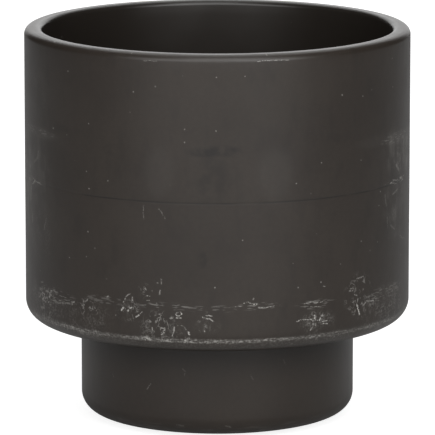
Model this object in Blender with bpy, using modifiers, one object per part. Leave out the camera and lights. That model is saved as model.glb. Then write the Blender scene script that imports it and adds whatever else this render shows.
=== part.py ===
"""An empty candle jar in dark matt ceramic.

A wide, thick-walled cup stands on a narrower hollow foot. The two are made apart and
bonded: a low boss under the cup drops inside the foot's wall and centres it. The foot
has a vent in its floor, a shallow recess underneath, and four stick-on rubber pads.

Metres, +Z up. The origin is on the jar's axis, in the plane that the pads stand on.
"""

import math

import bmesh
import bpy

# Cup: the wide upper vessel that holds the wax
CUP_DIAMETER = 0.1000
CUP_HEIGHT = 0.0762         # from its flat underside to the top of the rim
CUP_WALL = 0.0046
CUP_FLOOR = 0.0060
RIM_OUTER_ROUND = 0.0018
RIM_INNER_ROUND = 0.0013
CUP_LOWER_ROUND = 0.0050    # outside, between the wall and the underside
CUP_INNER_ROUND = 0.0050    # inside, between the wall and the floor

# Foot: the narrower hollow drum under the cup
FOOT_DIAMETER = 0.0711
FOOT_HEIGHT = 0.0245        # from its underside to the face that is bonded to the cup
FOOT_WALL = 0.0050
FOOT_FLOOR = 0.0050
FOOT_LOWER_ROUND = 0.0050
FOOT_INNER_ROUND = 0.0030
RECESS_DEPTH = 0.0015       # shallow hollow in the underside, inside the pads
VENT_DIAMETER = 0.0030      # lets air out of the hollow foot while it is fired

# Joint between the cup and the foot
BOND_LINE = 0.0003          # layer of bonding slip between the two flat faces
BOSS_HEIGHT = 0.0015
BOSS_CLEARANCE = 0.0004     # between the boss and the inside of the foot's wall

# Pads under the foot
PAD_COUNT = 4
PAD_DIAMETER = 0.0080
PAD_THICKNESS = 0.0008
PAD_CHAMFER = 0.0002        # round both faces of a pad
PAD_INSET = 0.0050          # from the outer edge of the flat land to a pad
PAD_MARGIN = 0.0015         # from a pad to the edge of the recess
PAD_GLUE = 0.0003
FIRST_PAD_DEGREES = 45.0

# Fineness of the round surfaces
TURNED_STEPS = 96
ARC_STEPS = 4
PAD_SIDES = 24
SHARP_DEGREES = 35.0
MERGE_DISTANCE = 0.00001

# Radii and levels that follow from the sizes above
CUP_RADIUS = CUP_DIAMETER / 2
CUP_BORE = CUP_RADIUS - CUP_WALL
FOOT_RADIUS = FOOT_DIAMETER / 2
FOOT_BORE = FOOT_RADIUS - FOOT_WALL
BOSS_RADIUS = FOOT_BORE - BOSS_CLEARANCE
VENT_RADIUS = VENT_DIAMETER / 2
LAND_OUTER = FOOT_RADIUS - FOOT_LOWER_ROUND
PAD_CIRCLE = LAND_OUTER - PAD_INSET - PAD_DIAMETER / 2
LAND_INNER = PAD_CIRCLE - PAD_DIAMETER / 2 - PAD_MARGIN

FOOT_BOTTOM = PAD_THICKNESS + PAD_GLUE
FOOT_TOP = FOOT_BOTTOM + FOOT_HEIGHT
CUP_BOTTOM = FOOT_TOP + BOND_LINE
RIM_TOP = CUP_BOTTOM + CUP_HEIGHT


def clear_scene():
    """Remove every object, so that the jar is built into an empty scene."""
    for old in list(bpy.data.objects):
        bpy.data.objects.remove(old, do_unlink=True)


def new_collection(name):
    """Make a collection in the scene."""
    collection = bpy.data.collections.new(name)
    bpy.context.scene.collection.children.link(collection)
    return collection


def plain_material(name, color, roughness):
    """Make a non-metallic Principled BSDF material."""
    material = bpy.data.materials.new(name)
    material.use_nodes = True
    shader = material.node_tree.nodes["Principled BSDF"]
    shader.inputs["Base Color"].default_value = (*color, 1.0)
    shader.inputs["Roughness"].default_value = roughness
    shader.inputs["Metallic"].default_value = 0.0
    material.diffuse_color = (*color, 1.0)
    return material


def arc(center, radius, start_degrees, end_degrees):
    """Points (distance from the axis, height) along an arc, both ends included."""
    points = []
    for step in range(ARC_STEPS + 1):
        share = step / ARC_STEPS
        angle = math.radians(start_degrees + share * (end_degrees - start_degrees))
        across = center[0] + radius * math.cos(angle)
        up = center[1] + radius * math.sin(angle)
        points.append((across, up))
    return points


def cup_profile():
    """Half section of the cup, from the inside floor over the rim to the boss."""
    floor = CUP_BOTTOM + CUP_FLOOR
    inner_corner = (CUP_BORE - CUP_INNER_ROUND, floor + CUP_INNER_ROUND)
    inner_rim = (CUP_BORE + RIM_INNER_ROUND, RIM_TOP - RIM_INNER_ROUND)
    outer_rim = (CUP_RADIUS - RIM_OUTER_ROUND, RIM_TOP - RIM_OUTER_ROUND)
    lower_corner = (CUP_RADIUS - CUP_LOWER_ROUND, CUP_BOTTOM + CUP_LOWER_ROUND)
    boss_bottom = CUP_BOTTOM - BOSS_HEIGHT

    points = [(0.0, floor)]
    points += arc(inner_corner, CUP_INNER_ROUND, -90, 0)
    points += arc(inner_rim, RIM_INNER_ROUND, 180, 90)
    points += arc(outer_rim, RIM_OUTER_ROUND, 90, 0)
    points += arc(lower_corner, CUP_LOWER_ROUND, 0, -90)
    points += [(BOSS_RADIUS, CUP_BOTTOM), (BOSS_RADIUS, boss_bottom), (0.0, boss_bottom)]
    return points


def foot_profile():
    """Closed half section of the foot, round its wall, its floor and its vent."""
    recess_top = FOOT_BOTTOM + RECESS_DEPTH
    floor = FOOT_BOTTOM + FOOT_FLOOR
    lower_corner = (FOOT_RADIUS - FOOT_LOWER_ROUND, FOOT_BOTTOM + FOOT_LOWER_ROUND)
    inner_corner = (FOOT_BORE - FOOT_INNER_ROUND, floor + FOOT_INNER_ROUND)

    points = [(FOOT_BORE, FOOT_TOP), (FOOT_RADIUS, FOOT_TOP)]
    points += arc(lower_corner, FOOT_LOWER_ROUND, 0, -90)
    points += [(LAND_INNER, FOOT_BOTTOM), (LAND_INNER, recess_top)]
    points += [(VENT_RADIUS, recess_top), (VENT_RADIUS, floor)]
    points += arc(inner_corner, FOOT_INNER_ROUND, -90, 0)
    return points


def apply_modifiers(piece):
    """Turn a piece's modifiers into mesh and shade it smooth between its sharp edges."""
    depsgraph = bpy.context.evaluated_depsgraph_get()
    mesh = bpy.data.meshes.new_from_object(piece.evaluated_get(depsgraph))
    mesh.name = piece.name
    mesh.shade_smooth()
    mesh.set_sharp_from_angle(angle=math.radians(SHARP_DEGREES))
    piece.modifiers.clear()
    piece.data = mesh


def add_turned(name, profile, closed, material, parts):
    """Turn a half section, drawn at +X, once round the Z axis."""
    edges = [(i, i + 1) for i in range(len(profile) - 1)]
    if closed:
        edges.append((len(profile) - 1, 0))
    mesh = bpy.data.meshes.new(name)
    mesh.from_pydata([(across, 0.0, up) for across, up in profile], edges, [])
    mesh.materials.append(material)
    piece = bpy.data.objects.new(name, mesh)
    parts.objects.link(piece)

    screw = piece.modifiers.new("turn", "SCREW")
    screw.axis = "Z"
    screw.angle = math.tau
    screw.steps = TURNED_STEPS
    screw.render_steps = TURNED_STEPS
    screw.use_merge_vertices = True
    screw.merge_threshold = MERGE_DISTANCE
    apply_modifiers(piece)
    return piece


def add_pad(name, degrees, material, parts):
    """A thin round pad on the flat land under the foot."""
    mesh = bpy.data.meshes.new(name)
    shape = bmesh.new()
    bmesh.ops.create_cone(
        shape,
        cap_ends=True,
        segments=PAD_SIDES,
        radius1=PAD_DIAMETER / 2,
        radius2=PAD_DIAMETER / 2,
        depth=PAD_THICKNESS,
    )
    shape.to_mesh(mesh)
    shape.free()
    mesh.materials.append(material)
    pad = bpy.data.objects.new(name, mesh)
    parts.objects.link(pad)

    bevel = pad.modifiers.new("edge", "BEVEL")
    bevel.width = PAD_CHAMFER
    bevel.segments = 1
    bevel.limit_method = "ANGLE"
    bevel.angle_limit = math.radians(60)
    apply_modifiers(pad)

    turn = math.radians(degrees)
    pad.location = (PAD_CIRCLE * math.cos(turn), PAD_CIRCLE * math.sin(turn), PAD_THICKNESS / 2)
    pad.rotation_euler = (0.0, 0.0, turn)
    return pad


def add_pads(material, parts):
    """The pads, evenly spaced round the foot."""
    pads = []
    for index in range(PAD_COUNT):
        degrees = FIRST_PAD_DEGREES + index * 360.0 / PAD_COUNT
        pads.append(add_pad(f"foot_pad_{index + 1}", degrees, material, parts))
    return pads


def build_jar():
    """Model the cup, the foot and the pads under one parent."""
    clear_scene()
    parts = new_collection("candle_jar")
    cup_ceramic = plain_material("cup_ceramic", (0.055, 0.051, 0.047), 0.5)
    foot_ceramic = plain_material("foot_ceramic", (0.046, 0.042, 0.039), 0.5)
    pad_rubber = plain_material("pad_rubber", (0.030, 0.030, 0.031), 0.85)

    jar = bpy.data.objects.new("jar_axis", None)
    parts.objects.link(jar)
    pieces = [
        add_turned("cup", cup_profile(), False, cup_ceramic, parts),
        add_turned("foot", foot_profile(), True, foot_ceramic, parts),
    ]
    pieces += add_pads(pad_rubber, parts)
    for piece in pieces:
        piece.parent = jar


build_jar()
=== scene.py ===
"""The look of an empty candle jar in scuffed, matt charcoal ceramic.

The cup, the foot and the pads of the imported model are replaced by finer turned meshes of
the same size. The marks on the cup and the foot are placed by the angle round the jar, in
degrees (0 faces the camera, 90 is on its right), and by the height above the cup's
underside, in millimetres.
"""

import math

import bpy
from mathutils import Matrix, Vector, noise


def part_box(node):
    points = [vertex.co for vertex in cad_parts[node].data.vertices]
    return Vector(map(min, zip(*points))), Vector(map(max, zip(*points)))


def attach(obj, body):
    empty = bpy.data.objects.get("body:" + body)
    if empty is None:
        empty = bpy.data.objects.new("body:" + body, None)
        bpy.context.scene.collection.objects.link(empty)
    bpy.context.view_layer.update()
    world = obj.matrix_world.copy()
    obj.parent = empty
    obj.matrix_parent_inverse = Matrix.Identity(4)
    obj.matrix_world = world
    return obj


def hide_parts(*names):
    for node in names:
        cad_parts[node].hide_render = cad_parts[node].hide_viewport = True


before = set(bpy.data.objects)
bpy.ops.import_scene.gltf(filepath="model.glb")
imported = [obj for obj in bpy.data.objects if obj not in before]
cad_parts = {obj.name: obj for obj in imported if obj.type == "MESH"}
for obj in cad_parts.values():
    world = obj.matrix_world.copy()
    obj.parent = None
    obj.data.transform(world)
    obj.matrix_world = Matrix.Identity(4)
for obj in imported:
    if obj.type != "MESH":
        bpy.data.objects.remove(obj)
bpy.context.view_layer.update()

MM = 0.001
BODY = "root"

# ---------------------------------------------------------------- sizes, in metres
# Overall sizes come from the imported model's parts; the smaller ones repeat the model's own.
cup_low, cup_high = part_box("cup")
foot_low, foot_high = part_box("foot")
pad_low, pad_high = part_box("foot_pad_1")

CUP_RADIUS = (cup_high.x - cup_low.x) / 2
BOSS_HEIGHT = 0.0015
CUP_BOTTOM = cup_low.z + BOSS_HEIGHT
RIM_TOP = cup_high.z
CUP_WALL = 0.0046
CUP_FLOOR = 0.0060
CUP_BORE = CUP_RADIUS - CUP_WALL
RIM_OUTER_ROUND = 0.0018
RIM_INNER_ROUND = 0.0013
CORNER_ROUND = 0.0050

FOOT_RADIUS = (foot_high.x - foot_low.x) / 2
FOOT_BOTTOM = foot_low.z
FOOT_TOP = foot_high.z
FOOT_WALL = 0.0050
FOOT_FLOOR = 0.0050
FOOT_BORE = FOOT_RADIUS - FOOT_WALL
FOOT_INNER_ROUND = 0.0030
BOSS_CLEARANCE = 0.0004     # between the boss and the inside of the foot's wall
BOSS_RADIUS = FOOT_BORE - BOSS_CLEARANCE
LAND_WIDTH = 0.0145         # of the flat ring under the foot, which carries the pads
RECESS_RADIUS = FOOT_RADIUS - CORNER_ROUND - LAND_WIDTH
RECESS_DEPTH = 0.0015
VENT_RADIUS = 0.0015

PAD_RADIUS = (pad_high.x - pad_low.x) / 2
PAD_THICKNESS = pad_high.z - pad_low.z
PAD_EDGE_ROUND = 0.0002
BOND_PARTS = 6              # of the joint's gap; one on each side of the slip stays clear

# Lines left on the cup's wall, as heights above its underside, in millimetres
CORNER_LINE = 3.4
THIN_RING = 38.7

# Unevenness of the cast surface
WOBBLE = 0.00003
WOBBLE_LENGTH = 0.018
STILL_REACH = 0.002         # nothing is moved this near the axis
GROOVE_DEPTH = 0.00002
GROOVE_HALF_WIDTH = 0.0002
GROOVE_MARGIN = 0.0003      # keeps the shading of the wall beside a groove flat
EDGE_BREAK = 0.0004

# Fineness of the turned meshes
CUP_SEGMENTS = 288
FOOT_SEGMENTS = 240
BOND_SEGMENTS = 160
PAD_SEGMENTS = 64
CORNER_STEPS = 14
INNER_CORNER_STEPS = 10
RIM_OUTER_STEPS = 12
RIM_INNER_STEPS = 10
FOOT_INNER_STEPS = 6
BOND_STEPS = 6
EDGE_STEPS = 4
BOSS_EDGE_STEPS = 3
LONGEST_SPAN = 0.0025       # between two points of an outline
LONGEST_PAD_SPAN = 0.0010
SAME_POINT = 1e-7
ON_AXIS = 1e-6
SHARP_DEGREES = 50


# ---------------------------------------------------------------- turned meshes
def arc(center, radius, start_degrees, end_degrees, steps):
    """Points (distance from the axis, height) along an arc, both ends included."""
    points = []
    for step in range(steps + 1):
        angle = math.radians(start_degrees + step / steps * (end_degrees - start_degrees))
        across = center[0] + radius * math.cos(angle)
        up = center[1] + radius * math.sin(angle)
        points.append((across, up))
    return points


def run(start, end, steps):
    """Points strictly between two ends of a straight stretch."""
    points = []
    for step in range(1, steps):
        share = step / steps
        across = start[0] + share * (end[0] - start[0])
        up = start[1] + share * (end[1] - start[1])
        points.append((across, up))
    return points


def joined(stretches, longest=LONGEST_SPAN):
    """One outline through all stretches, with points added along the long gaps."""
    outline = []
    for point in [point for stretch in stretches for point in stretch]:
        if outline:
            length = math.dist(outline[-1], point)
            if length < SAME_POINT:
                continue
            outline += run(outline[-1], point, max(1, math.ceil(length / longest)))
        outline.append(point)
    return outline


def groove(radius, height):
    """A fine line pressed into an upright wall, from above it to below it."""
    return [
        (radius, height + GROOVE_HALF_WIDTH + GROOVE_MARGIN),
        (radius, height + GROOVE_HALF_WIDTH),
        (radius - GROOVE_DEPTH, height),
        (radius, height - GROOVE_HALF_WIDTH),
        (radius, height - GROOVE_HALF_WIDTH - GROOVE_MARGIN),
    ]


def wobbled(x, y, z, inward):
    """Moves a point a little towards the axis, by a slow unevenness over the surface."""
    place = Vector((x, y, z)) / WOBBLE_LENGTH
    shift = WOBBLE * (0.5 + 0.5 * noise.noise(place)) * inward
    reach = math.hypot(x, y)
    if reach < STILL_REACH:
        return (x, y, z)
    scale = 1.0 - shift / reach
    return (x * scale, y * scale, z)


def add_turned(name, outline, segments, closed, inward):
    """Turns an outline that runs down its outer side round the Z axis into a closed mesh."""
    points, faces, rings = [], [], []
    for reach, height in outline:
        if reach < ON_AXIS:
            rings.append([len(points)] * segments)
            points.append((0.0, 0.0, height))
            continue
        rings.append(list(range(len(points), len(points) + segments)))
        for step in range(segments):
            turn = math.tau * step / segments
            points.append(wobbled(reach * math.cos(turn), reach * math.sin(turn), height, inward))
    pairs = list(zip(rings, rings[1:]))
    if closed:
        pairs.append((rings[-1], rings[0]))
    for upper, lower in pairs:
        for step in range(segments):
            after = (step + 1) % segments
            corners = [upper[step], lower[step], lower[after], upper[after]]
            faces.append(list(dict.fromkeys(corners)))
    mesh = bpy.data.meshes.new(name)
    mesh.from_pydata(points, [], faces)
    mesh.validate()
    mesh.shade_smooth()
    mesh.set_sharp_from_angle(angle=math.radians(SHARP_DEGREES))
    piece = bpy.data.objects.new(name, mesh)
    bpy.context.scene.collection.objects.link(piece)
    return piece


def cup_outline():
    """Half section of the cup: inside floor, inside wall, rim, outside wall, underside."""
    floor = CUP_BOTTOM + CUP_FLOOR
    inner_corner = (CUP_BORE - CORNER_ROUND, floor + CORNER_ROUND)
    inner_rim = (CUP_BORE + RIM_INNER_ROUND, RIM_TOP - RIM_INNER_ROUND)
    outer_rim = (CUP_RADIUS - RIM_OUTER_ROUND, RIM_TOP - RIM_OUTER_ROUND)
    lower_corner = (CUP_RADIUS - CORNER_ROUND, CUP_BOTTOM + CORNER_ROUND)
    boss_bottom = CUP_BOTTOM - BOSS_HEIGHT
    boss_edge = (BOSS_RADIUS - EDGE_BREAK, boss_bottom + EDGE_BREAK)
    return joined([
        [(0.0, floor)],
        arc(inner_corner, CORNER_ROUND, -90, 0, INNER_CORNER_STEPS),
        arc(inner_rim, RIM_INNER_ROUND, 180, 90, RIM_INNER_STEPS),
        arc(outer_rim, RIM_OUTER_ROUND, 90, 0, RIM_OUTER_STEPS),
        groove(CUP_RADIUS, CUP_BOTTOM + THIN_RING * MM),
        arc(lower_corner, CORNER_ROUND, 0, -90, CORNER_STEPS),
        [(BOSS_RADIUS, CUP_BOTTOM)],
        arc(boss_edge, EDGE_BREAK, 0, -90, BOSS_EDGE_STEPS),
        [(0.0, boss_bottom)],
    ])


def foot_outline():
    """Closed half section of the foot, round its wall, its floor and its vent."""
    recess_top = FOOT_BOTTOM + RECESS_DEPTH
    floor = FOOT_BOTTOM + FOOT_FLOOR
    lower_corner = (FOOT_RADIUS - CORNER_ROUND, FOOT_BOTTOM + CORNER_ROUND)
    inner_corner = (FOOT_BORE - FOOT_INNER_ROUND, floor + FOOT_INNER_ROUND)
    upper_edge = (FOOT_RADIUS - EDGE_BREAK, FOOT_TOP - EDGE_BREAK)
    recess_edge = (RECESS_RADIUS + EDGE_BREAK, FOOT_BOTTOM + EDGE_BREAK)
    return joined([
        [(FOOT_BORE, FOOT_TOP)],
        arc(upper_edge, EDGE_BREAK, 90, 0, EDGE_STEPS),
        arc(lower_corner, CORNER_ROUND, 0, -90, CORNER_STEPS),
        arc(recess_edge, EDGE_BREAK, 270, 180, EDGE_STEPS),
        [(RECESS_RADIUS, recess_top), (VENT_RADIUS, recess_top), (VENT_RADIUS, floor)],
        arc(inner_corner, FOOT_INNER_ROUND, -90, 0, FOOT_INNER_STEPS),
        [(FOOT_BORE, FOOT_TOP - EDGE_BREAK)],
    ])


def pad_outline():
    """Half section of a pad: a thin disc with softly rounded edges, centred on the origin."""
    edge = PAD_RADIUS - PAD_EDGE_ROUND
    level = PAD_THICKNESS / 2 - PAD_EDGE_ROUND
    return joined([
        [(0.0, PAD_THICKNESS / 2)],
        arc((edge, level), PAD_EDGE_ROUND, 90, 0, EDGE_STEPS),
        arc((edge, -level), PAD_EDGE_ROUND, 0, -90, EDGE_STEPS),
        [(0.0, -PAD_THICKNESS / 2)],
    ], longest=LONGEST_PAD_SPAN)


# ---------------------------------------------------------------- material nodes
# Sockets of the Mix node that carry colours
MIX_FIRST = 6
MIX_SECOND = 7
MIX_RESULT = 2


class Look:
    """A Principled material and short calls that add nodes to it."""

    def __init__(self, name):
        self.material = bpy.data.materials.new(name)
        self.material.use_nodes = True
        self.nodes = self.material.node_tree.nodes
        self.links = self.material.node_tree.links
        self.shader = self.nodes["Principled BSDF"]

    def plug(self, socket, value):
        """Sets a socket to a number or colour, or links a node's output to it."""
        if isinstance(value, bpy.types.NodeSocket):
            self.links.new(value, socket)
        else:
            socket.default_value = value

    def add(self, kind, values, **settings):
        """Adds a node with its settings and its first inputs."""
        node = self.nodes.new(kind)
        for key, setting in settings.items():
            setattr(node, key, setting)
        for socket, value in zip(node.inputs, values):
            self.plug(socket, value)
        return node

    def math(self, operation, *values, clamp=False):
        """One step of arithmetic on numbers or node outputs."""
        return self.add("ShaderNodeMath", values, operation=operation, use_clamp=clamp).outputs[0]

    def stretched(self, place, factors):
        """The place with each axis scaled, which draws a pattern out along the smallest."""
        node = self.add("ShaderNodeVectorMath", (place, factors), operation="MULTIPLY")
        return node.outputs[0]

    def noise(self, place, scale, detail=2.0, distortion=0.0):
        """Noise from 0 to 1; scale is in features per millimetre."""
        node = self.nodes.new("ShaderNodeTexNoise")
        self.plug(node.inputs["Vector"], place)
        node.inputs["Scale"].default_value = scale
        node.inputs["Detail"].default_value = detail
        node.inputs["Distortion"].default_value = distortion
        return node.outputs["Fac"]

    def fade(self, value, start, end):
        """0 where the value is at start, 1 where it is at end, with soft ends."""
        node = self.nodes.new("ShaderNodeMapRange")
        node.interpolation_type = "SMOOTHSTEP"
        low, high = min(start, end), max(start, end)
        self.plug(node.inputs["Value"], value)
        node.inputs["From Min"].default_value = low
        node.inputs["From Max"].default_value = high
        node.inputs["To Min"].default_value = 0.0 if start < end else 1.0
        node.inputs["To Max"].default_value = 1.0 if start < end else 0.0
        return node.outputs["Result"]

    def pattern(self, place, recipe):
        """Noise by a recipe: its scale and detail, and where it starts and is full."""
        scale, detail, start, full = recipe
        return self.fade(self.noise(place, scale, detail), start, full)

    def band(self, value, middle, half, soft):
        """1 within half of the middle, falling to 0 over the soft width outside it."""
        away = self.math("ABSOLUTE", self.math("SUBTRACT", value, middle))
        return self.fade(away, half + soft, half)

    def mix(self, share, first, second):
        """A colour between two, by the share of the second."""
        node = self.nodes.new("ShaderNodeMix")
        node.data_type = "RGBA"
        self.plug(node.inputs["Factor"], share)
        self.plug(node.inputs[MIX_FIRST], first)
        self.plug(node.inputs[MIX_SECOND], second)
        return node.outputs[MIX_RESULT]

    def place_in_mm(self):
        """The place on the piece, from the piece's own origin."""
        coordinates = self.nodes.new("ShaderNodeTexCoord").outputs["Object"]
        return self.stretched(coordinates, (1 / MM, 1 / MM, 1 / MM))

    def angle_and_height(self, place):
        """Degrees round the jar, and millimetres above the cup's underside."""
        x, y, z = self.add("ShaderNodeSeparateXYZ", (place,)).outputs
        angle = self.math("DEGREES", self.math("ARCTAN2", x, self.math("MULTIPLY", y, -1.0)))
        height = self.math("SUBTRACT", z, CUP_BOTTOM / MM)
        return angle, height

    def reach_from_axis(self, place):
        """Millimetres from the jar's axis."""
        x, y, _ = self.add("ShaderNodeSeparateXYZ", (place,)).outputs
        squares = self.math("ADD", self.math("POWER", x, 2.0), self.math("POWER", y, 2.0))
        return self.math("SQRT", squares)

    def patches(self, angle, height, spots):
        """The strongest of some soft oval patches: (degrees, mm, half degrees, half mm, strength)."""
        where = self.add("ShaderNodeCombineXYZ", (angle, height, 0.0)).outputs[0]
        total = None
        for degrees, level, half_degrees, half_level, strength in spots:
            scale = (1 / half_degrees, 1 / half_level, 0.0)
            offset = (-degrees / half_degrees, -level / half_level, 0.0)
            inside = self.add(
                "ShaderNodeVectorMath", (where, scale, offset), operation="MULTIPLY_ADD"
            )
            away = self.add("ShaderNodeVectorMath", (inside.outputs[0],), operation="LENGTH")
            patch = self.fade(away.outputs["Value"], 1.0, PATCH_CORE)
            patch = self.math("MULTIPLY", patch, strength)
            total = patch if total is None else self.math("MAXIMUM", total, patch)
        return total

    def between(self, share, low, high):
        """A number between low and high, by the share of the high one."""
        return self.math("MULTIPLY_ADD", share, high - low, low)

    def product(self, first, *others):
        """All the values multiplied together."""
        for other in others:
            first = self.math("MULTIPLY", first, other)
        return first

    def largest(self, first, *others):
        """The largest of the values."""
        for other in others:
            first = self.math("MAXIMUM", first, other)
        return first

    def wall_sheet(self, place, angle, height):
        """The cup's wall rolled out flat, in millimetres, with a slight hand-drawn shake."""
        across = self.math("MULTIPLY", angle, MM_PER_DEGREE)
        flat = self.add("ShaderNodeCombineXYZ", (across, height, 0.0)).outputs[0]
        shake = self.nodes.new("ShaderNodeTexNoise")
        self.plug(shake.inputs["Vector"], place)
        shake.inputs["Scale"].default_value = SHAKE_SCALE
        shake.inputs["Detail"].default_value = 1.0
        moved = self.add(
            "ShaderNodeVectorMath",
            (shake.outputs["Color"], (SHAKE, SHAKE, 0.0), flat),
            operation="MULTIPLY_ADD",
        )
        return self.add(
            "ShaderNodeVectorMath",
            (moved.outputs[0], (SHAKE / 2, SHAKE / 2, 0.0)),
            operation="SUBTRACT",
        ).outputs[0]

    def distance_to(self, sheet, start, end):
        """Distance on the flat wall, in millimetres, to the straight line between two points."""
        span = Vector(end) - Vector(start)
        offset = self.add("ShaderNodeVectorMath", (sheet, start), operation="SUBTRACT").outputs[0]
        if span.length == 0.0:
            return self.add("ShaderNodeVectorMath", (offset,), operation="LENGTH").outputs["Value"]
        along = self.add(
            "ShaderNodeVectorMath", (offset, span / span.length_squared), operation="DOT_PRODUCT"
        )
        share = self.math("MINIMUM", self.math("MAXIMUM", along.outputs["Value"], 0.0), 1.0)
        nearest = self.nodes.new("ShaderNodeVectorMath")
        nearest.operation = "SCALE"
        nearest.inputs[0].default_value = span
        self.plug(nearest.inputs["Scale"], share)
        away = self.add("ShaderNodeVectorMath", (offset, nearest.outputs[0]), operation="DISTANCE")
        return away.outputs["Value"]

    def strokes(self, sheet, table):
        """The strongest of some listed scratches: (half width, strength, point, point, ...)."""
        total = None
        for half_width, strength, *points in table:
            spots = [(degrees * MM_PER_DEGREE, level, 0.0) for degrees, level in points]
            spans = list(zip(spots, spots[1:])) or [(spots[0], spots[0])]
            lengths = [self.distance_to(sheet, start, end) for start, end in spans]
            nearest = lengths[0]
            for length in lengths[1:]:
                nearest = self.math("MINIMUM", nearest, length)
            edge = STROKE_THINNING * half_width / STROKE_SOFTNESS + 0.5
            cover = self.math("MULTIPLY_ADD", nearest, -1 / STROKE_SOFTNESS, edge)
            cover = self.math("MULTIPLY", self.math("MINIMUM", cover, 1.0), strength)
            total = self.math("MAXIMUM", cover, 0.0 if total is None else total)
        return total

    def chips(self, sheet):
        """Small round spots, one to a cell, in the few cells that are chosen."""
        cells = self.nodes.new("ShaderNodeTexVoronoi")
        cells.voronoi_dimensions = "2D"
        self.plug(cells.inputs["Vector"], sheet)
        cells.inputs["Scale"].default_value = 1 / CHIP_SPACING
        outer = (CHIP_HALF_WIDTH + CHIP_SOFTNESS) / CHIP_SPACING
        inner = (CHIP_HALF_WIDTH - CHIP_SOFTNESS) / CHIP_SPACING
        spot = self.fade(cells.outputs["Distance"], outer, inner)
        chosen = self.add("ShaderNodeSeparateColor", (cells.outputs["Color"],)).outputs[0]
        return self.math("MULTIPLY", spot, self.fade(chosen, *CHIP_CHOICE))

    def loops(self, place):
        """Thin curling lines, the contours of a smooth noise, broken into short lengths."""
        field = self.noise(place, LOOP_SCALE, detail=1.0, distortion=LOOP_DISTORTION)
        away = self.math("ABSOLUTE", self.math("SUBTRACT", field, 0.5))
        line = self.fade(away, *LOOP_LINE)
        return self.math("MULTIPLY", line, self.pattern(place, LOOP_BREAKUP))

    def bump(self, height, distance):
        """Links a height in millimetres to the shader's normal."""
        node = self.nodes.new("ShaderNodeBump")
        node.inputs["Distance"].default_value = distance
        self.plug(node.inputs["Height"], height)
        self.links.new(node.outputs[0], self.shader.inputs["Normal"])


# ---------------------------------------------------------------- marks on the jar
MM_PER_DEGREE = CUP_RADIUS / MM * math.pi / 180
STROKE_SOFTNESS = 0.14
STROKE_THINNING = 0.85      # of every half width in the tables of scratches
SHAKE = 0.5                 # of a hand-drawn line, in millimetres
SHAKE_SCALE = 0.9
PATCH_CORE = 0.45           # share of an oval patch that has its full strength

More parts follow.
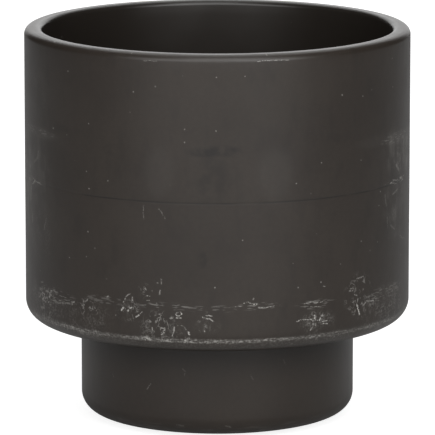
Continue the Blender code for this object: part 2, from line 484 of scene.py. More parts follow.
# Single scratches: (half width in mm, strength, then points as degrees round and mm up)
STROKES = [
    (0.20, 0.70, (-64.0, 10.2), (-62.5, 10.3), (-62.0, 9.0)),
    (0.32, 0.55, (-59.3, 9.9), (-58.8, 10.9), (-58.0, 11.6)),
    (0.20, 0.45, (-65.0, 13.0), (-63.5, 13.1)),
    (0.30, 0.35, (-65.0, 6.3), (-62.8, 6.4)),
    (0.28, 0.30, (-56.0, 9.0), (-51.0, 9.5), (-47.5, 9.8)),
    (0.20, 0.50, (-48.0, 10.1), (-46.5, 10.4)),
    (0.22, 0.45, (-42.6, 10.0), (-42.2, 11.1), (-41.2, 11.7)),
    (0.20, 0.55, (-34.0, 13.2), (-33.3, 13.3)),
    (0.22, 0.45, (-31.0, 8.8)),
    (0.26, 1.00, (-29.0, 10.3), (-28.4, 10.9)),
    (0.12, 0.70, (-28.4, 12.2), (-27.3, 14.1), (-26.0, 14.8)),
    (0.22, 0.50, (-25.3, 13.9), (-25.4, 12.6)),
    (0.24, 1.00, (-26.9, 10.2), (-26.3, 10.9), (-25.2, 11.4)),
    (0.22, 0.95, (-24.2, 9.0), (-23.4, 9.4)),
    (0.10, 0.60, (-23.2, 9.4), (-22.3, 10.3)),
    (0.26, 0.45, (-21.5, 16.6), (-21.0, 16.2)),
    (0.24, 0.40, (-21.7, 15.4)),
    (0.12, 0.80, (-20.9, 14.4), (-19.9, 14.5)),
    (0.12, 0.50, (-20.8, 13.4), (-20.0, 13.4)),
    (0.16, 0.35, (-16.3, 19.2), (-16.4, 17.9)),
    (0.22, 0.45, (-16.7, 16.1), (-16.9, 15.2)),
    (0.13, 0.80, (-19.1, 6.7), (-19.0, 5.7)),
    (0.16, 0.50, (-17.5, 10.0), (-16.3, 10.0), (-17.0, 8.4)),
    (0.14, 0.80, (-16.4, 6.5), (-15.4, 6.5), (-15.6, 5.3), (-16.4, 4.8)),
    (0.20, 0.80, (-13.6, 9.1), (-12.8, 9.5)),
    (0.13, 0.80, (-12.5, 6.9), (-12.6, 5.9), (-13.2, 4.6)),
    (0.18, 0.80, (-12.2, 9.3), (-10.4, 9.4)),
    (0.14, 1.00, (-12.1, 10.3), (-11.5, 10.8), (-10.6, 10.8), (-10.2, 10.4),
     (-10.8, 10.0), (-11.7, 9.9), (-12.1, 10.3)),
    (0.10, 0.40, (-11.6, 7.4), (-10.5, 7.5), (-9.5, 7.0), (-8.6, 6.0)),
    (0.22, 0.95, (-8.3, 5.9), (-8.1, 5.1)),
    (0.20, 0.55, (-5.3, 8.7)),
    (0.22, 0.50, (-5.0, 6.1)),
    (0.22, 0.85, (-4.4, 9.7)),
    (0.22, 0.65, (-3.7, 6.1)),
    (0.14, 0.80, (-3.3, 10.1), (-1.5, 10.1)),
    (0.20, 0.75, (-3.3, 9.4), (-2.2, 9.3), (-1.2, 8.7)),
    (0.10, 0.70, (5.2, 12.4), (7.0, 12.5)),
    (0.13, 1.00, (7.6, 13.3), (9.0, 13.4), (10.0, 12.9), (11.5, 12.8)),
    (0.20, 0.35, (10.2, 13.9), (10.5, 14.3)),
    (0.14, 0.70, (12.0, 11.9), (14.2, 11.9), (16.6, 12.2)),
    (0.18, 0.95, (23.6, 7.8), (24.8, 8.0)),
    (0.16, 0.75, (25.6, 8.1), (29.0, 7.8)),
    (0.13, 0.70, (26.0, 12.2), (28.0, 12.4), (32.0, 12.1)),
    (0.16, 0.65, (28.0, 5.2), (28.8, 5.9)),
    (0.10, 0.50, (28.2, 11.2), (31.5, 10.9)),
    (0.12, 0.85, (28.9, 7.8), (28.9, 6.3)),
    (0.26, 0.90, (29.4, 8.9), (29.5, 8.1)),
    (0.12, 0.90, (29.7, 7.8), (29.7, 6.2)),
    (0.12, 0.80, (30.4, 7.5), (30.6, 6.6)),
    (0.22, 0.95, (31.1, 7.5), (32.0, 8.7)),
    (0.11, 0.85, (31.1, 7.2), (34.0, 7.0)),
    (0.13, 0.85, (32.2, 6.6), (33.9, 6.2)),
    (0.10, 0.60, (32.2, 16.0), (33.2, 16.0)),
    (0.20, 0.45, (42.0, 13.7), (43.5, 13.8)),
    (0.16, 0.65, (44.2, 12.6), (45.2, 12.3)),
    (0.20, 0.55, (45.6, 11.4), (45.3, 10.2)),
    (0.28, 1.00, (45.2, 9.8), (45.9, 8.5), (46.3, 7.2)),
    (0.18, 0.40, (45.2, 16.6), (48.0, 16.8)),
    (0.20, 0.50, (47.5, 9.1), (49.5, 10.2), (53.0, 9.9)),
    (0.12, 0.30, (-21.6, 37.6), (-21.9, 36.0), (-21.6, 34.2)),
    (0.12, 0.28, (-17.0, 37.0), (-16.2, 36.2), (-15.2, 34.6)),
    (0.22, 0.60, (-71.8, 37.5), (-69.6, 38.6)),
    (0.18, 0.45, (-71.0, 39.0), (-67.0, 38.5)),
    (0.34, 0.32, (-73.0, 37.4), (-73.2, 35.4)),
    (0.36, 0.32, (-72.0, 29.6), (-72.2, 27.4)),
    (0.42, 0.16, (-70.0, 43.6), (-67.0, 45.0), (-66.4, 46.6)),
    (0.30, 0.20, (-61.0, 30.0), (-62.5, 27.0)),
    (0.18, 0.45, (64.0, 39.7), (66.0, 39.2), (68.0, 39.3)),
    (0.42, 0.26, (66.4, 43.2), (68.4, 41.8)),
    (0.28, 0.24, (64.0, 36.0), (67.5, 36.8)),
    (0.28, 0.18, (58.8, 36.4), (59.6, 33.6)),
    (0.28, 0.15, (60.4, 30.4), (60.6, 27.8)),
    (0.30, 0.20, (62.5, 28.0), (65.4, 26.7)),
    (0.26, 0.30, (70.0, 24.4), (72.0, 23.2), (75.0, 22.8)),
    (0.09, 0.85, (11.5, 74.6), (15.5, 74.8), (20.8, 74.6)),
    (0.10, 0.35, (-21.5, 74.4), (-17.5, 74.5)),
]
# The few scratches on the foot, below the level of the cup's underside; sideways, their
# widths are those on the cup's wall
FOOT_STROKES = [
    (0.14, 0.35, (-49.4, -10.8), (-48.6, -11.6)),
    (0.13, 0.60, (-30.4, -13.1), (-28.6, -11.7)),
    (0.20, 0.15, (-14.4, -7.0), (-13.2, -7.8), (-13.8, -8.8)),
    (0.28, 0.14, (28.4, -5.4), (29.4, -6.6)),
    (0.28, 0.12, (14.0, -8.8), (15.0, -10.0)),
    (0.26, 0.25, (3.4, -21.8), (5.6, -22.2)),
    (0.26, 0.20, (-17.2, -21.9), (-14.2, -22.1)),
]
# Tiny pale chips, scattered over the wall above the scuffed band, in millimetres
CHIP_SPACING = 7.0
CHIP_HALF_WIDTH = 0.16
CHIP_SOFTNESS = 0.10
CHIP_CHOICE = (0.70, 0.90)  # a cell's random number, where chips start and are full
CHIP_HEIGHTS = (13.0, 17.0)

# Soft oval patches: (degrees round, mm up, half width in degrees, half height in mm, strength)
LOOP_PATCHES = [
    (-26.0, 10.5, 3.6, 3.4, 0.6),
    (-17.0, 7.6, 6.0, 4.2, 0.7),
    (-40.5, 9.6, 5.0, 3.6, 0.7),
    (-3.0, 8.6, 3.4, 2.4, 0.5),
    (30.0, 8.0, 6.0, 2.6, 0.4),
    (46.0, 12.0, 7.0, 7.0, 0.6),
    (-61.5, 9.8, 8.0, 2.8, 0.9),
    (-21.0, 15.6, 3.4, 2.6, 0.4),
    (104.0, 9.0, 7.0, 3.4, 0.9),
    (131.0, 12.0, 8.0, 3.6, 0.9),
    (158.0, 8.0, 6.0, 2.8, 0.9),
    (-112.0, 10.0, 7.0, 3.4, 1.0),
    (-141.0, 13.0, 5.0, 3.4, 0.8),
    (-163.0, 8.0, 7.0, 2.4, 1.0),
]
DASH_PATCHES = [
    (-35.0, 12.3, 10.0, 1.3, 0.5),
    (-15.0, 12.2, 11.0, 1.2, 0.8),
    (-1.0, 11.8, 9.0, 1.3, 0.6),
    (12.0, 12.3, 8.0, 1.2, 1.0),
    (30.0, 11.7, 8.0, 1.5, 0.8),
    (-57.0, 10.6, 13.0, 2.6, 0.9),
    (60.0, 11.0, 15.0, 2.6, 0.6),
    (-72.0, 38.6, 12.0, 0.9, 1.2),
    (69.0, 39.0, 12.0, 0.9, 1.6),
    (-68.0, 52.0, 16.0, 1.2, 0.5),
    (68.0, 50.4, 14.0, 1.6, 0.8),
    (120.0, 12.0, 28.0, 1.5, 0.8),
    (-125.0, 12.0, 32.0, 1.5, 0.8),
]
# Pale powder; the patches near ±70 degrees above 25 mm are partly painted sheen, lightening the
# flanks where the satin surface catches the light at a grazing angle
POWDER_AND_SHEEN_PATCHES = [
    (-15.0, 3.7, 12.0, 1.2, 2.4),
    (0.0, 3.4, 9.0, 1.0, 1.2),
    (-45.0, 3.4, 16.0, 1.6, 1.2),
    (34.0, 3.2, 9.0, 1.6, 0.9),
    (-70.0, 3.6, 26.0, 2.8, 1.1),
    (68.0, 3.6, 24.0, 2.8, 1.1),
    (-68.0, 27.0, 14.0, 12.0, 0.30),
    (-70.0, 62.0, 12.0, 9.0, 0.25),
    (-68.0, 7.5, 22.0, 6.0, 1.0),
    (62.0, 8.0, 20.0, 6.0, 0.9),
    (-42.0, 7.5, 12.0, 5.5, 0.55),
    (-17.0, 6.0, 10.0, 3.6, 0.6),
    (-27.0, 10.0, 5.0, 3.0, 0.5),
    (31.0, 7.0, 8.0, 4.0, 0.5),
    (-3.0, 7.4, 5.0, 2.6, 0.4),
    (74.0, 45.0, 11.0, 7.5, 0.9),
    (70.0, 31.0, 12.0, 9.0, 0.35),
    (-76.0, 40.0, 12.0, 13.0, 0.5),
    (130.0, 9.0, 34.0, 6.0, 0.7),
    (-140.0, 9.0, 32.0, 6.0, 0.7),
]
# Pale upright streaks, partly painted sheen: those near ±65 to 78 degrees lighten the band between
# the thin ring and its top at the flanks, where the surface catches the light at a grazing angle
STREAK_AND_SHEEN_PATCHES = [
    (78.0, 46.0, 9.0, 7.5, 1.0),
    (65.0, 47.0, 10.0, 7.5, 0.45),
    (66.0, 32.0, 10.0, 10.0, 0.40),
    (-77.0, 38.0, 9.0, 17.0, 0.7),
    (-65.0, 42.0, 9.0, 12.0, 0.30),
    (120.0, 44.0, 20.0, 10.0, 0.6),
    (-128.0, 42.0, 22.0, 12.0, 0.6),
]
# Rubbed places; the three near the flanks, at the band's top, are partly painted sheen as well
RUB_AND_SHEEN_PATCHES = [
    (-66.0, 51.8, 15.0, 1.9, 1.4),
    (69.0, 50.2, 14.0, 2.2, 1.8),
    (54.0, 51.0, 12.0, 2.0, 0.6),
    (-17.0, 46.5, 6.0, 8.5, 0.6),
    (17.0, 46.0, 7.0, 9.0, 0.8),
]
# Dark, unlike the others
SMUDGE_PATCHES = [
    (-1.0, 52.0, 10.5, 2.1, 1.0),
    (-1.5, 45.0, 6.0, 9.0, 0.50),
    (-30.0, 51.0, 7.0, 2.2, 0.35),
    (-4.4, 24.4, 1.8, 2.8, 0.90),
    (-54.0, 54.6, 14.0, 1.4, 0.30),
    (38.0, 54.0, 9.0, 2.0, 0.30),
]

# Colours, linear
WHITE = (1.0, 1.0, 1.0, 1.0)
CHARCOAL_DARK = (0.0262, 0.0208, 0.0170, 1.0)
CHARCOAL_LIGHT = (0.0335, 0.0268, 0.0217, 1.0)
# The inside of the cup is coloured darker than the outside: painted shade of the hollow
INSIDE_PAINTED_SHADE = (0.0175, 0.0145, 0.0120, 1.0)
CHALK_COLOR = (0.480, 0.465, 0.435, 1.0)
# The dark of the smudges on the cup, also used for the painted shade on the foot
SMUDGE_AND_SHADE_COLOR = (0.0120, 0.0105, 0.0095, 1.0)
RUBBER_COLOR = (0.020, 0.020, 0.021, 1.0)
RUBBER_DUST_COLOR = (0.075, 0.072, 0.068, 1.0)

# Roughness
SURFACE_ROUGHNESS = 0.36
INSIDE_SMOOTHER = 0.06      # taken from the roughness inside the cup
FOOT_ROUGHNESS = 0.33
WORN_ROUGHNESS = 0.65
RUBBER_ROUGHNESS = 0.78
ROUGHNESS_CHANGE = 0.10     # from the dullest to the glossiest place
ROUGHNESS_CHANGE_SCALE = 0.12

# The bare ceramic: scales are in features per millimetre
CLOUD_SCALE = 0.045
CLOUD_SHARE = 0.65
MOTTLE_SCALE = 0.9
MOTTLE_SHARE = 0.35
BODY_FADE = (0.30, 0.70)
GRAIN_SCALE = 0.20
GRAIN_EDGE = (0.060, 0.030)
GRAIN_CHOICE = (0.55, 0.95)
TOOTH_SCALE = 3.0
TOOTH_HEIGHT = 0.006
SWELL_SCALE = 0.22
SWELL_HEIGHT = 0.030

# Recipes of noise: features per millimetre, detail, where it starts to show and is full
BREAKUP = (2.8, 2.0, 0.40, 0.55)
DASH = (1.0, 3.0, 0.52, 0.62)
LOOP_BREAKUP = (0.6, 1.0, 0.47, 0.57)
SPECKLE = (1.9, 3.0, 0.42, 0.66)
LINE_WEAR = (1.5, 4.0, 0.40, 0.60)
LINE_BUSY = (0.06, 2.0, 0.36, 0.62)
CLOUDY = (0.30, 4.0, 0.35, 0.70)
STREAK = (0.55, 3.0, 0.30, 0.72)
RING_GAPS = (0.5, 1.0, 0.35, 0.55)
RAGGED = (0.32, 4.0, 0.32, 0.60)
STAIN = (0.30, 4.0, 0.50, 0.72)
FOOT_EDGE_WEAR = (1.4, 3.0, 0.50, 0.70)
RUBBER_DUST = (0.8, 3.0, 0.45, 0.75)

# Factors for each axis: a pattern is longest along the axes with the smallest
DASH_STRETCH = (0.45, 0.45, 2.8)
LINE_STRETCH = (0.55, 0.55, 2.4)
RING_STRETCH = (0.16, 0.16, 1.5)
STREAK_STRETCH = (1.3, 1.3, 0.10)
STAIN_STRETCH = (1.0, 1.0, 0.4)

# Curling scribbles: distance from a contour of the noise, at a line's edge and in full
LOOP_SCALE = 0.75
LOOP_DISTORTION = 0.6
LOOP_LINE = (0.055, 0.0165)

# Widths and heights of the marks that run all round, in millimetres
LINE_HALF_WIDTH = 0.24
LINE_SOFTNESS = 0.46
RING_HALF_WIDTH = 0.10
RING_SOFTNESS = 0.16
CORNER_UPPER_END = (4.6, 3.0)
CORNER_LOWER_END = (0.2, 1.6)
FOOT_EDGE = 1.6             # middle of the wear, above the foot's underside
FOOT_EDGE_HALF_WIDTH = 0.8
FOOT_EDGE_SOFTNESS = 1.2
# Painted shade on the foot under the cup: mm from the cup's underside where it starts and where it is
# full, widely and close to the joint
WIDE_PAINTED_SHADE = (-13.0, -1.0)
CLOSE_PAINTED_SHADE = (-3.0, -0.5)
RIM_FADE = (0.6, 2.4)       # outwards from the bore: from the inside's look to the outside's
FLOOR_FADE = (5.6, 5.2)     # below the inside floor everything has the outside's look

# Strength of each kind of mark
STROKE_STRENGTH = 0.88
DASH_STRENGTH = 0.30
LOOP_STRENGTH = 0.45
CHIP_STRENGTH = 0.46
LINE_IN_SPECKLE = (0.45, 1.0)
LINE_WHERE_BUSY = (0.22, 0.52)
CORNER_IN_SPECKLE = (0.036, 0.111)
# The powder, streaks and rubs also carry painted sheen on the flanks
POWDER_AND_SHEEN_STRENGTH = 0.26
STREAK_AND_SHEEN_STRENGTH = 0.26
RUB_AND_SHEEN_STRENGTH = 0.022
RING_STRENGTH = 0.8
SMUDGE_STRENGTH = 0.9
STAIN_STRENGTH = 0.22
GRAIN_STRENGTH = 0.20
# Strengths of the painted shade on the foot
WIDE_PAINTED_SHADE_STRENGTH = 0.55
CLOSE_PAINTED_SHADE_STRENGTH = 0.35
FOOT_EDGE_STRENGTH = 0.05
FOOT_STROKE_STRENGTH = 0.60
FOOT_GRAIN_STRENGTH = 0.12

# Rubber of the pads
PEBBLE_SCALE = 3.5
PEBBLE_HEIGHT = 0.02
RUBBER_DUST_STRENGTH = 0.3
RUBBER_DUST_ROUGHNESS = 0.1


def fired_body(look, place):
    """The bare ceramic: slow cloudiness, fine mottling and a few pale grains."""
    cloud = look.noise(place, CLOUD_SCALE, detail=3.0)
    mottle = look.noise(place, MOTTLE_SCALE, detail=3.0)
    cloud = look.math("MULTIPLY", cloud, CLOUD_SHARE)
    mottle = look.math("MULTIPLY", mottle, MOTTLE_SHARE)
    share = look.math("ADD", cloud, mottle)
    color = look.mix(look.fade(share, *BODY_FADE), CHARCOAL_DARK, CHARCOAL_LIGHT)
    cells = look.nodes.new("ShaderNodeTexVoronoi")
    look.plug(cells.inputs["Vector"], place)
    cells.inputs["Scale"].default_value = GRAIN_SCALE
    grain = look.fade(cells.outputs["Distance"], *GRAIN_EDGE)
    chosen = look.add("ShaderNodeSeparateColor", (cells.outputs["Color"],)).outputs[0]
    grain = look.math("MULTIPLY", grain, look.fade(chosen, *GRAIN_CHOICE))
    return color, grain


def fine_relief(look, place):
    """Height of the matt surface in millimetres: fine tooth over a soft unevenness."""
    tooth = look.math("MULTIPLY", look.noise(place, TOOTH_SCALE, detail=3.0), TOOTH_HEIGHT)
    swell = look.math("MULTIPLY", look.noise(place, SWELL_SCALE, detail=2.0), SWELL_HEIGHT)
    return look.math("ADD", tooth, swell)


def uneven_roughness(look, place, middle):
    """A roughness that changes slowly over the surface, round a middle value."""
    change = look.math("SUBTRACT", look.noise(place, ROUGHNESS_CHANGE_SCALE, detail=3.0), 0.5)
    return look.math("ADD", look.math("MULTIPLY", change, ROUGHNESS_CHANGE), middle)


def drawn_scratches(look, place, sheet, table):
    """The single scratches of a table, broken up by fine noise."""
    return look.product(look.strokes(sheet, table), look.pattern(place, BREAKUP))


def scratches(look, place, angle, height):
    """Sharp pale marks: the single scratches, dashes, curling scribbles and tiny chips."""
    sheet = look.wall_sheet(place, angle, height)
    drawn = drawn_scratches(look, place, sheet, STROKES)
    dash = look.pattern(look.stretched(place, DASH_STRETCH), DASH)
    dashes = look.product(look.patches(angle, height, DASH_PATCHES), dash, DASH_STRENGTH)
    curled = look.patches(angle, height, LOOP_PATCHES)
    curled = look.product(curled, look.loops(place), LOOP_STRENGTH)
    chips = look.product(look.chips(sheet), look.fade(height, *CHIP_HEIGHTS), CHIP_STRENGTH)
    return look.largest(look.math("MULTIPLY", drawn, STROKE_STRENGTH), dashes, curled, chips)


def corner_wear(look, place, height, speckle):
    """The broken pale line above the cup's lower corner, and the paler corner itself."""
    flat = look.stretched(place, LINE_STRETCH)
    line = look.band(height, CORNER_LINE, LINE_HALF_WIDTH, LINE_SOFTNESS)
    line = look.product(line, look.pattern(flat, LINE_WEAR))
    line = look.product(line, look.between(speckle, *LINE_IN_SPECKLE))
    busy = look.pattern(place, LINE_BUSY)
    line = look.product(line, look.between(busy, *LINE_WHERE_BUSY))
    corner = look.fade(height, *CORNER_UPPER_END)
    corner = look.product(corner, look.fade(height, *CORNER_LOWER_END))
    corner = look.product(corner, look.between(speckle, *CORNER_IN_SPECKLE))
    return line, corner


def chalky_dust(look, place, angle, height):
    """Soft pale marks: the worn corner, powder, upright streaks and rubbed places; the powder,
    streaks and rubs near the flanks are partly painted sheen.
    """
    speckle = look.pattern(place, SPECKLE)
    total, corner = corner_wear(look, place, height, speckle)
    cloudy = look.pattern(place, CLOUDY)
    # Powder, streaks and rubs near the flanks carry painted sheen as well as chalk
    powder_and_sheen = look.patches(angle, height, POWDER_AND_SHEEN_PATCHES)
    powder_and_sheen = look.product(powder_and_sheen, speckle, cloudy, POWDER_AND_SHEEN_STRENGTH)
    streak = look.pattern(look.stretched(place, STREAK_STRETCH), STREAK)
    streaks_and_sheen = look.patches(angle, height, STREAK_AND_SHEEN_PATCHES)
    streaks_and_sheen = look.product(streaks_and_sheen, streak, cloudy, STREAK_AND_SHEEN_STRENGTH)
    rubs_and_sheen = look.product(look.patches(angle, height, RUB_AND_SHEEN_PATCHES), RUB_AND_SHEEN_STRENGTH)
    for layer in (corner, powder_and_sheen, streaks_and_sheen, rubs_and_sheen):
        total = look.math("ADD", total, layer)
    return total


def dark_marks(look, place, angle, height):
    """Darker than the ceramic: the thin ring with its gaps, smudges and faint stains."""
    ring = look.band(height, THIN_RING, RING_HALF_WIDTH, RING_SOFTNESS)
    gaps = look.pattern(look.stretched(place, RING_STRETCH), RING_GAPS)
    ring = look.product(ring, gaps, RING_STRENGTH)
    ragged = look.pattern(place, RAGGED)
    smudge = look.patches(angle, height, SMUDGE_PATCHES)
    smudge = look.product(smudge, ragged, SMUDGE_STRENGTH)
    stains = look.pattern(look.stretched(place, STAIN_STRETCH), STAIN)
    stains = look.product(stains, STAIN_STRENGTH)
    return look.largest(smudge, ring, stains)


def cup_look():
    """Matt charcoal ceramic with the rubs, scratches and chalky scuffs of handling, painted shade
    inside the cup and painted sheen in some pale marks on the flanks.
    """
    look = Look("scuffed_cup_ceramic")
    place = look.place_in_mm()
    angle, height = look.angle_and_height(place)
    reach = look.reach_from_axis(place)
    color, grain = fired_body(look, place)
    bore = CUP_BORE / MM
    outer_wall = look.fade(reach, bore + RIM_FADE[0], bore + RIM_FADE[1])
    outside = look.largest(outer_wall, look.fade(height, *FLOOR_FADE))
    # Painted shade: the inside of the cup gets a darker colour than the outside
    color = look.mix(outside, INSIDE_PAINTED_SHADE, color)
    dark = look.product(dark_marks(look, place, angle, height), outside)
    color = look.mix(dark, color, SMUDGE_AND_SHADE_COLOR)

    sharp = scratches(look, place, angle, height)
    soft = chalky_dust(look, place, angle, height)
    worn = look.product(look.math("ADD", sharp, soft, clamp=True), outside)
    worn = look.math("ADD", worn, look.math("MULTIPLY", grain, GRAIN_STRENGTH), clamp=True)
    color = look.mix(worn, color, CHALK_COLOR)
    look.plug(look.shader.inputs["Base Color"], color)

    rough = uneven_roughness(look, place, SURFACE_ROUGHNESS)
    rougher = look.math("MULTIPLY", worn, WORN_ROUGHNESS - SURFACE_ROUGHNESS)
    rough = look.math("ADD", rough, rougher)
    smoother = look.product(look.math("SUBTRACT", 1.0, outside), INSIDE_SMOOTHER)
    look.plug(look.shader.inputs["Roughness"], look.math("SUBTRACT", rough, smoother))
    look.bump(fine_relief(look, place), MM)
    return look.material


def foot_look():
    """The same ceramic with painted shade that darkens it up towards the cup, a few scratches and a
    worn edge.
    """
    look = Look("foot_ceramic_clean")
    place = look.place_in_mm()
    angle, height = look.angle_and_height(place)
    color, grain = fired_body(look, place)
    # Painted shade: the foot darkens towards the cup's overhang and the joint, where shadow falls
    painted_shade = look.product(look.fade(height, *WIDE_PAINTED_SHADE), WIDE_PAINTED_SHADE_STRENGTH)
    close_painted_shade = look.fade(height, *CLOSE_PAINTED_SHADE)
    painted_shade = look.math("MULTIPLY_ADD", close_painted_shade, CLOSE_PAINTED_SHADE_STRENGTH, painted_shade)
    color = look.mix(painted_shade, color, SMUDGE_AND_SHADE_COLOR)

    level = (FOOT_BOTTOM - CUP_BOTTOM) / MM + FOOT_EDGE
    edge = look.band(height, level, FOOT_EDGE_HALF_WIDTH, FOOT_EDGE_SOFTNESS)
    wear = look.pattern(look.stretched(place, RING_STRETCH), FOOT_EDGE_WEAR)
    edge = look.math("MULTIPLY", edge, wear)
    sheet = look.wall_sheet(place, angle, height)
    drawn = drawn_scratches(look, place, sheet, FOOT_STROKES)
    drawn = look.math("MULTIPLY", drawn, FOOT_STROKE_STRENGTH)
    worn = look.math("MULTIPLY_ADD", edge, FOOT_EDGE_STRENGTH, drawn)
    grain = look.math("MULTIPLY", grain, FOOT_GRAIN_STRENGTH)
    worn = look.math("ADD", worn, grain, clamp=True)
    color = look.mix(worn, color, CHALK_COLOR)
    look.plug(look.shader.inputs["Base Color"], color)
    look.plug(look.shader.inputs["Roughness"], uneven_roughness(look, place, FOOT_ROUGHNESS))
    look.bump(fine_relief(look, place), MM)
    return look.material


def rubber_look():
    """Dull dark rubber with a fine pebbled skin and a trace of dust."""
    look = Look("pad_rubber_dull")
    place = look.place_in_mm()
    pebble = look.noise(place, PEBBLE_SCALE, detail=2.0)
    dust = look.pattern(place, RUBBER_DUST)
    dusty = look.math("MULTIPLY", dust, RUBBER_DUST_STRENGTH)
    color = look.mix(dusty, RUBBER_COLOR, RUBBER_DUST_COLOR)
    look.plug(look.shader.inputs["Base Color"], color)
    rougher = look.math("MULTIPLY", dust, RUBBER_DUST_ROUGHNESS)
    look.plug(look.shader.inputs["Roughness"], look.math("ADD", rougher, RUBBER_ROUGHNESS))
    look.bump(look.math("MULTIPLY", pebble, PEBBLE_HEIGHT), MM)
    return look.material


# ---------------------------------------------------------------- the jar
def finish_piece(piece, material, slot, *nodes):
    """Gives a piece its material and its body, and hides the model's parts that it stands for; the
    slot is not used.
    """
    piece.data.materials.append(material)
    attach(piece, BODY)
    if nodes:
        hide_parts(*nodes)


def make_cup():
    """The whole cup, with its boss underneath."""
    cup = add_turned("cup_shell", cup_outline(), CUP_SEGMENTS, closed=False, inward=1.0)
    finish_piece(cup, cup_look(), "cup_ceramic", "cup")


def make_foot():
    """The hollow foot and the slip that bonds it to the cup."""
    material = foot_look()
    foot = add_turned("foot_shell", foot_outline(), FOOT_SEGMENTS, closed=True, inward=1.0)
    finish_piece(foot, material, "foot_ceramic", "foot")
    make_bond(material)


def make_bond(material):
    """The thin layer of slip that bonds the foot to the cup, a hair inside the foot's wall."""
    clear = (CUP_BOTTOM - FOOT_TOP) / BOND_PARTS
    low, high = FOOT_TOP + clear, CUP_BOTTOM - clear
    middle, radius = (low + high) / 2, (high - low) / 2
    outer = FOOT_RADIUS - EDGE_BREAK
    inner = BOSS_RADIUS + 2 * EDGE_BREAK
    bulge = arc((outer, middle), radius, 90, -90, BOND_STEPS)
    outline = joined([[(inner, high)], bulge, [(inner, low)]])
    bond = add_turned("bonding_slip", outline, BOND_SEGMENTS, closed=True, inward=0.0)
    finish_piece(bond, material, "foot_ceramic")


def make_pads():
    """One rubber pad over each pad of the model."""
    material = rubber_look()
    names = sorted(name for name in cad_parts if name.startswith("foot_pad_"))
    for name in names:
        low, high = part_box(name)
        pad = add_turned(f"rubber_{name}", pad_outline(), PAD_SEGMENTS, closed=False, inward=0.0)
        pad.location = (low + high) / 2
        finish_piece(pad, material, "pad_rubber", name)


# ---------------------------------------------------------------- studio
VISIBLE_MIDDLE = (FOOT_BOTTOM + RIM_TOP) / 2
CAMERA_ELEVATION = 10.81
CAMERA_DISTANCE = 1.272
CAMERA_LENS = 403.9
CAMERA_ASIDE = 0.00005      # sideways, after the camera is aimed
SENSOR_WIDTH = 36.0
NEAREST_SEEN = 0.05
FARTHEST_SEEN = 50.0

# name, degrees round (0 in front, 90 on the right), degrees up, distance, width, height, power
SOFTBOXES = [
    ("front_far_left", -40, 19, 1.6, 0.55, 0.9, 3.6),
    ("front_left", -20, 19, 1.6, 0.55, 0.9, 4.4),
    ("front", 0, 19, 1.6, 0.55, 0.9, 3.2),
    ("front_right", 20, 19, 1.6, 0.55, 0.9, 5.3),
    ("front_far_right", 40, 19, 1.6, 0.55, 0.9, 4.5),
    ("upper", 8, 48, 1.6, 1.2, 0.8, 8.0),
    ("top", 0, 88, 1.5, 1.2, 1.2, 3.2),
    ("back_high", 180, 58, 1.6, 1.4, 0.9, 7.0),
    ("back", 178, 15, 1.6, 1.4, 1.0, 6.0),
]
WORLD_FILL = 0.02           # the surround's strength as a light
WHITE_LIFT = 0.86           # the floor's glow, which only the camera sees
FLOOR_HALF_WIDTH = 6.0
FLOOR_GREY = 0.45
FLOOR_ROUGHNESS = 0.9
FLOOR_SPECULAR = 0.1


def aim(thing, target):
    """Turns a camera or lamp, which looks along its own -Z, towards a point."""
    direction = Vector(target) - thing.location
    thing.rotation_euler = direction.to_track_quat("-Z", "Y").to_euler()


def around(degrees, up, distance):
    """A point round the middle of the jar; 0 degrees is in front, 90 on the right."""
    turn, rise = math.radians(degrees), math.radians(up)
    across = distance * math.cos(rise)
    return Vector((
        across * math.sin(turn),
        -across * math.cos(turn),
        VISIBLE_MIDDLE + distance * math.sin(rise),
    ))


def add_camera():
    """A long lens in front of the jar, a little above it."""
    lens = bpy.data.cameras.new("camera")
    lens.lens = CAMERA_LENS
    lens.sensor_width = SENSOR_WIDTH
    lens.clip_start = NEAREST_SEEN
    lens.clip_end = FARTHEST_SEEN
    camera = bpy.data.objects.new("camera", lens)
    bpy.context.scene.collection.objects.link(camera)
    camera.location = around(0, CAMERA_ELEVATION, CAMERA_DISTANCE)
    aim(camera, (0.0, 0.0, VISIBLE_MIDDLE))
    camera.location.x = CAMERA_ASIDE
    bpy.context.scene.camera = camera


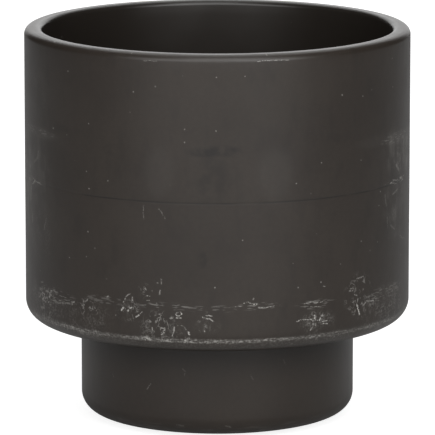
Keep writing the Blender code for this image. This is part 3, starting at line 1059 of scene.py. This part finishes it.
def add_softbox(name, degrees, up, distance, width, height, power):
    """A wide lamp aimed at the jar, which the camera doesn't see."""
    lamp = bpy.data.lights.new(name, "AREA")
    lamp.shape = "RECTANGLE"
    lamp.size = width
    lamp.size_y = height
    lamp.energy = power
    box = bpy.data.objects.new(name, lamp)
    bpy.context.scene.collection.objects.link(box)
    box.location = around(degrees, up, distance)
    aim(box, (0.0, 0.0, VISIBLE_MIDDLE))
    box.visible_camera = False


def add_floor():
    """A wide pale floor, which looks white to the camera."""
    mesh = bpy.data.meshes.new("floor")
    signs = [(-1, -1), (1, -1), (1, 1), (-1, 1)]
    corners = [(x * FLOOR_HALF_WIDTH, y * FLOOR_HALF_WIDTH, 0.0) for x, y in signs]
    mesh.from_pydata(corners, [], [(0, 1, 2, 3)])
    floor = bpy.data.objects.new("floor", mesh)
    bpy.context.scene.collection.objects.link(floor)
    look = Look("pale_floor")
    look.shader.inputs["Base Color"].default_value = (FLOOR_GREY, FLOOR_GREY, FLOOR_GREY, 1.0)
    look.shader.inputs["Roughness"].default_value = FLOOR_ROUGHNESS
    look.shader.inputs["Specular IOR Level"].default_value = FLOOR_SPECULAR
    look.shader.inputs["Emission Color"].default_value = WHITE
    seen = look.nodes.new("ShaderNodeLightPath").outputs["Is Camera Ray"]
    look.plug(look.shader.inputs["Emission Strength"], look.math("MULTIPLY", seen, WHITE_LIFT))
    mesh.materials.append(look.material)


def set_world():
    """A white surround to look at, which lights the jar only faintly."""
    world = bpy.data.worlds.new("studio")
    world.use_nodes = True
    nodes, links = world.node_tree.nodes, world.node_tree.links
    seen = nodes.new("ShaderNodeLightPath").outputs["Is Camera Ray"]
    strength = nodes.new("ShaderNodeMapRange")
    strength.inputs["To Min"].default_value = WORLD_FILL
    strength.inputs["To Max"].default_value = 1.0
    links.new(seen, strength.inputs["Value"])
    background = nodes["Background"]
    background.inputs["Color"].default_value = WHITE
    links.new(strength.outputs["Result"], background.inputs["Strength"])
    bpy.context.scene.world = world
    bpy.context.scene.view_settings.view_transform = "Standard"


make_cup()
make_foot()
make_pads()
add_camera()
for softbox in SOFTBOXES:
    add_softbox(*softbox)
add_floor()
set_world()
